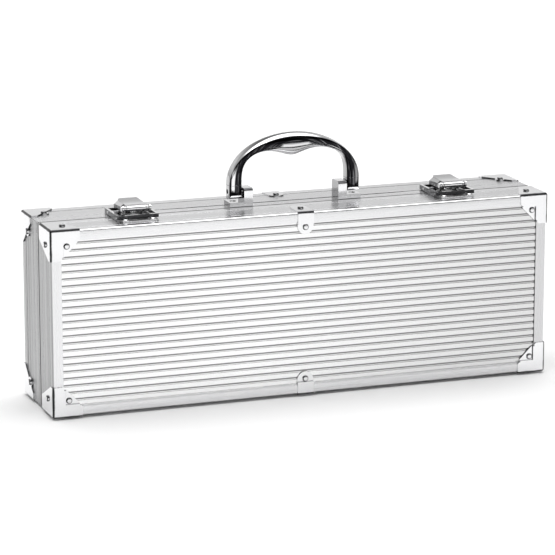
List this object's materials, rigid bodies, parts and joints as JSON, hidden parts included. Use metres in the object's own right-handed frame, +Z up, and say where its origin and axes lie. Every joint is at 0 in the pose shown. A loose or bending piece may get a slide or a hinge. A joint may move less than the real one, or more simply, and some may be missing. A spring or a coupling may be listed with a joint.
{
  "type": "poker chip case",
  "caption": "Slim upright aluminium carrying case with ribbed panels, chromed corner brackets, two draw latches, a folding arched handle, a hinged lid and a chip tray.",
  "frame": {"origin": "on the floor plane under the centre of the case, which stands on its hinge side", "axes": "+X along the case's length, to the right seen from the lid side; +Y from the lid to the base half; +Z up, from the hinge side to the handle side"},
  "size_m": [0.4026, 0.081, 0.1973],
  "materials": {
    "frame_aluminium": "fine brushed, clear anodised",
    "ribbed_aluminium_skin": "pressed ribs, satin anodised",
    "fibre_board": "raw fibre board",
    "bracket_chrome": "bright plated sheet steel",
    "rivet_steel": "plated, polished heads",
    "hinge_steel": "plated sheet steel, rolled knuckles",
    "handle_chrome": "bright chrome plate",
    "flocked_tray": "black flocked, thermoformed",
    "liner_foam": "open-cell foam, convoluted"
  },
  "bodies": {
    "case_base": {"base_frame_top": "frame_aluminium", "base_frame_bottom": "frame_aluminium", "base_frame_left": "frame_aluminium", "base_frame_right": "frame_aluminium", "back_panel_skin": "ribbed_aluminium_skin", "back_panel_board": "fibre_board", "base_corner_top_left": "bracket_chrome", "base_corner_top_right": "bracket_chrome", "base_corner_bottom_left": "bracket_chrome", "base_corner_bottom_right": "bracket_chrome", "base_corner_rivets": "rivet_steel", "base_clip_top": "bracket_chrome", "base_clip_bottom": "bracket_chrome", "base_clip_rivets": "rivet_steel", "chip_tray": "flocked_tray", "handle_bracket_left": "bracket_chrome", "handle_bracket_right": "bracket_chrome", "handle_bracket_rivets": "rivet_steel", "handle_pins": "rivet_steel", "latch_base_left": "bracket_chrome", "latch_base_right": "bracket_chrome", "latch_base_rivets": "rivet_steel", "latch_pivot_pins": "rivet_steel", "hinge_base_leaf_left": "hinge_steel", "hinge_base_leaf_right": "hinge_steel", "hinge_pins": "rivet_steel", "hinge_base_rivets": "rivet_steel"},
    "lid": {"lid_frame_top": "frame_aluminium", "lid_frame_bottom": "frame_aluminium", "lid_frame_left": "frame_aluminium", "lid_frame_right": "frame_aluminium", "front_panel_skin": "ribbed_aluminium_skin", "front_panel_board": "fibre_board", "lid_corner_top_left": "bracket_chrome", "lid_corner_top_right": "bracket_chrome", "lid_corner_bottom_left": "bracket_chrome", "lid_corner_bottom_right": "bracket_chrome", "lid_corner_rivets": "rivet_steel", "lid_clip_top": "bracket_chrome", "lid_clip_bottom": "bracket_chrome", "lid_clip_rivets": "rivet_steel", "lid_foam": "liner_foam", "latch_keeper_left": "bracket_chrome", "latch_keeper_right": "bracket_chrome", "latch_keeper_rivets": "rivet_steel", "hinge_lid_leaf_left": "hinge_steel", "hinge_lid_leaf_right": "hinge_steel", "hinge_lid_rivets": "rivet_steel"},
    "handle": {"handle_shell": "handle_chrome", "handle_grip": "handle_chrome", "handle_end_left": "handle_chrome", "handle_end_right": "handle_chrome"},
    "lever_left": {"latch_lever_left": "bracket_chrome", "hook_pins_left": "rivet_steel"},
    "lever_right": {"latch_lever_right": "bracket_chrome", "hook_pins_right": "rivet_steel"},
    "hook_left": {"latch_hook_left": "bracket_chrome"},
    "hook_right": {"latch_hook_right": "bracket_chrome"}
  },
  "joints": [
    {"name": "lid_hinge", "type": "hinge", "parent": "case_base", "child": "lid", "pos_m": [0, -0.0055, 0.0023], "axis": [1, 0, 0], "range_deg": [0, 105]},
    {"name": "handle_pivot", "type": "hinge", "parent": "case_base", "child": "handle", "pos_m": [0.0048, 0.002, 0.1545], "axis": [1, 0, 0], "range_deg": [-80, 80]},
    {"name": "lever_left_pivot", "type": "hinge", "parent": "case_base", "child": "lever_left", "pos_m": [-0.1269, -0.0175, 0.1513], "axis": [1, 0, 0], "range_deg": [0, 90]},
    {"name": "hook_left_pivot", "type": "hinge", "parent": "lever_left", "child": "hook_left", "pos_m": [-0.1269, 0.001, 0.1456], "axis": [1, 0, 0], "range_deg": [-90, 0]},
    {"name": "lever_right_pivot", "type": "hinge", "parent": "case_base", "child": "lever_right", "pos_m": [0.1291, -0.0175, 0.1513], "axis": [1, 0, 0], "range_deg": [0, 90]},
    {"name": "hook_right_pivot", "type": "hinge", "parent": "lever_right", "child": "hook_right", "pos_m": [0.1291, 0.001, 0.1456], "axis": [1, 0, 0], "range_deg": [-90, 0]}
  ],
  "couplings": [
    {"joint": "hook_left_pivot", "follows": "lever_left_pivot", "ratio": -1},
    {"joint": "hook_right_pivot", "follows": "lever_right_pivot", "ratio": -1}
  ]
}
